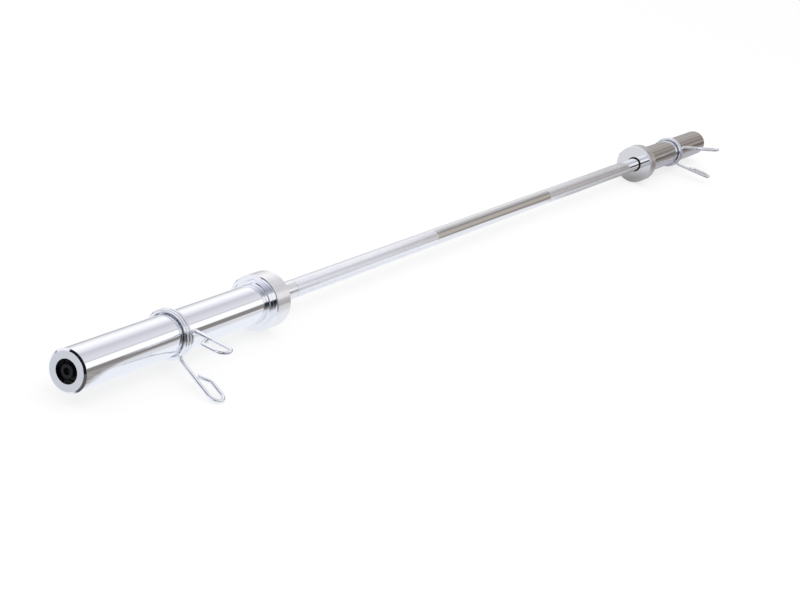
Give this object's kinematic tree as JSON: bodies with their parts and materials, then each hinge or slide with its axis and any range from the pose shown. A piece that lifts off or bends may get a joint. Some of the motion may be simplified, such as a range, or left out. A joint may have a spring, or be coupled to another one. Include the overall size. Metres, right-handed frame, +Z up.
{
  "type": "barbell",
  "caption": "Full-size chromed barbell with turning plate sleeves, stepped collars, a knurled grip and sprung wire clips that squeeze open and slide off.",
  "frame": {"origin": "on the bar's axis, half way between the two sleeve ends", "axes": "+X along the bar towards the right end, +Z up as it lies on its collars with the clip handles towards -Y"},
  "size_m": [2.2, 0.1359, 0.0808],
  "materials": {
    "shaft_chrome": "hard chrome over a turned and partly knurled steel shaft",
    "sleeve_chrome": "polished bright chrome",
    "clip_chrome": "bright plated spring wire",
    "bearing_bronze": "machined sintered bronze",
    "washer_steel": "ground steel",
    "black_oxide_steel": "black oxide",
    "seal_rubber": "moulded nitrile rubber"
  },
  "bodies": {
    "bar": {"shaft": "shaft_chrome", "left_thrust_washer": "washer_steel", "left_retaining_washer": "black_oxide_steel", "left_lock_washer": "black_oxide_steel", "left_end_bolt": "black_oxide_steel", "right_thrust_washer": "washer_steel", "right_retaining_washer": "black_oxide_steel", "right_lock_washer": "black_oxide_steel", "right_end_bolt": "black_oxide_steel"},
    "left_end": {"left_sleeve": "sleeve_chrome", "left_collar": "sleeve_chrome", "left_inner_bushing": "bearing_bronze", "left_outer_bushing": "bearing_bronze", "left_dust_seal": "seal_rubber"},
    "left_clip": {"left_clip_coil": "clip_chrome", "left_clip_lower_handle": "clip_chrome"},
    "left_clip_lever": {"left_clip_upper_handle": "clip_chrome"},
    "right_end": {"right_sleeve": "sleeve_chrome", "right_collar": "sleeve_chrome", "right_inner_bushing": "bearing_bronze", "right_outer_bushing": "bearing_bronze", "right_dust_seal": "seal_rubber"},
    "right_clip": {"right_clip_coil": "clip_chrome", "right_clip_lower_handle": "clip_chrome"},
    "right_clip_lever": {"right_clip_upper_handle": "clip_chrome"}
  },
  "joints": [
    {"name": "left_sleeve_spin", "type": "hinge", "parent": "bar", "child": "left_end", "pos_m": [0, 0, 0], "axis": [1, 0, 0], "continuous": true},
    {"name": "left_clip_slide", "type": "slide", "parent": "left_end", "child": "left_clip", "axis": [1, 0, 0], "range_m": [-0.1963, 0.1652]},
    {"name": "left_clip_squeeze", "type": "hinge", "parent": "left_clip", "child": "left_clip_lever", "pos_m": [-0.914, 0, 0], "axis": [1, 0, 0], "range_deg": [0, 25], "stiffness_Nm_per_rad": 6, "springref_deg": -5.73, "deforming": ["left_clip_coil"]},
    {"name": "right_sleeve_spin", "type": "hinge", "parent": "bar", "child": "right_end", "pos_m": [0, 0, 0], "axis": [1, 0, 0], "continuous": true},
    {"name": "right_clip_slide", "type": "slide", "parent": "right_end", "child": "right_clip", "axis": [-1, 0, 0], "range_m": [-0.1923, 0.1692]},
    {"name": "right_clip_squeeze", "type": "hinge", "parent": "right_clip", "child": "right_clip_lever", "pos_m": [0.918, 0, 0], "axis": [1, 0, 0], "range_deg": [0, 25], "stiffness_Nm_per_rad": 6, "springref_deg": -5.73, "deforming": ["right_clip_coil"]}
  ]
}
